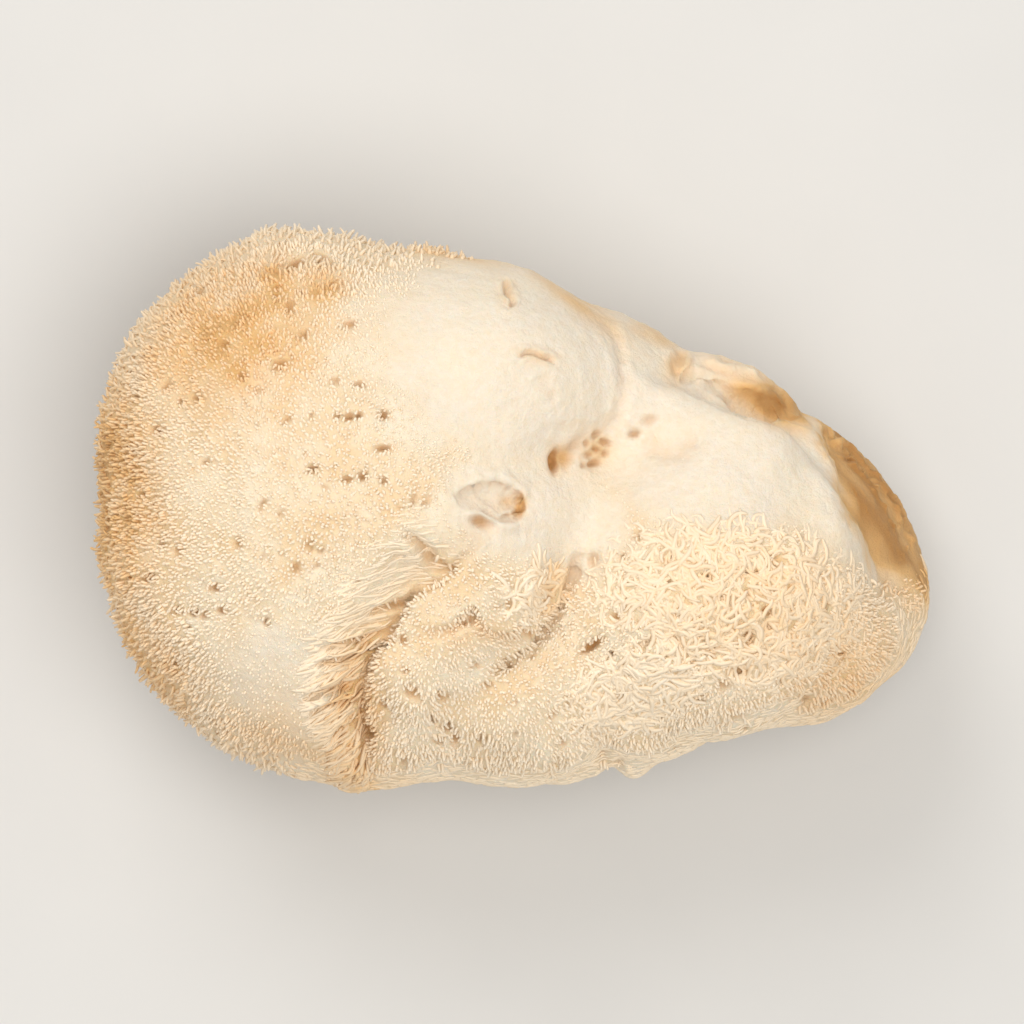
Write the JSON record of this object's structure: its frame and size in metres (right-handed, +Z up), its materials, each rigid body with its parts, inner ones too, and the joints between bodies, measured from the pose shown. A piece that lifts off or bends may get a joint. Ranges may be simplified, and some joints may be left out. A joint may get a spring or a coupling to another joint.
{
  "type": "lion's mane mushroom",
  "caption": "Whole lion's mane mushroom head: fused lobes with deep folds, a smooth felted upper fold and a mane of soft spines, resting on its flat cut foot.",
  "frame": {"origin": "on the flat cut that the mushroom rests on, under the middle of the head's bounding box", "axes": "+X along the length of the head, from the large round lobe to the small right lobe; +Y towards the smooth upper fold; +Z up, out of the cut"},
  "size_m": [0.0626, 0.0422, 0.037],
  "materials": {
    "mushroom_flesh": "matte, soft and slightly translucent cream flesh, tan where the spines have bruised or dried"
  },
  "bodies": {
    "root": {"lions_mane": "mushroom_flesh"}
  },
  "joints": []
}
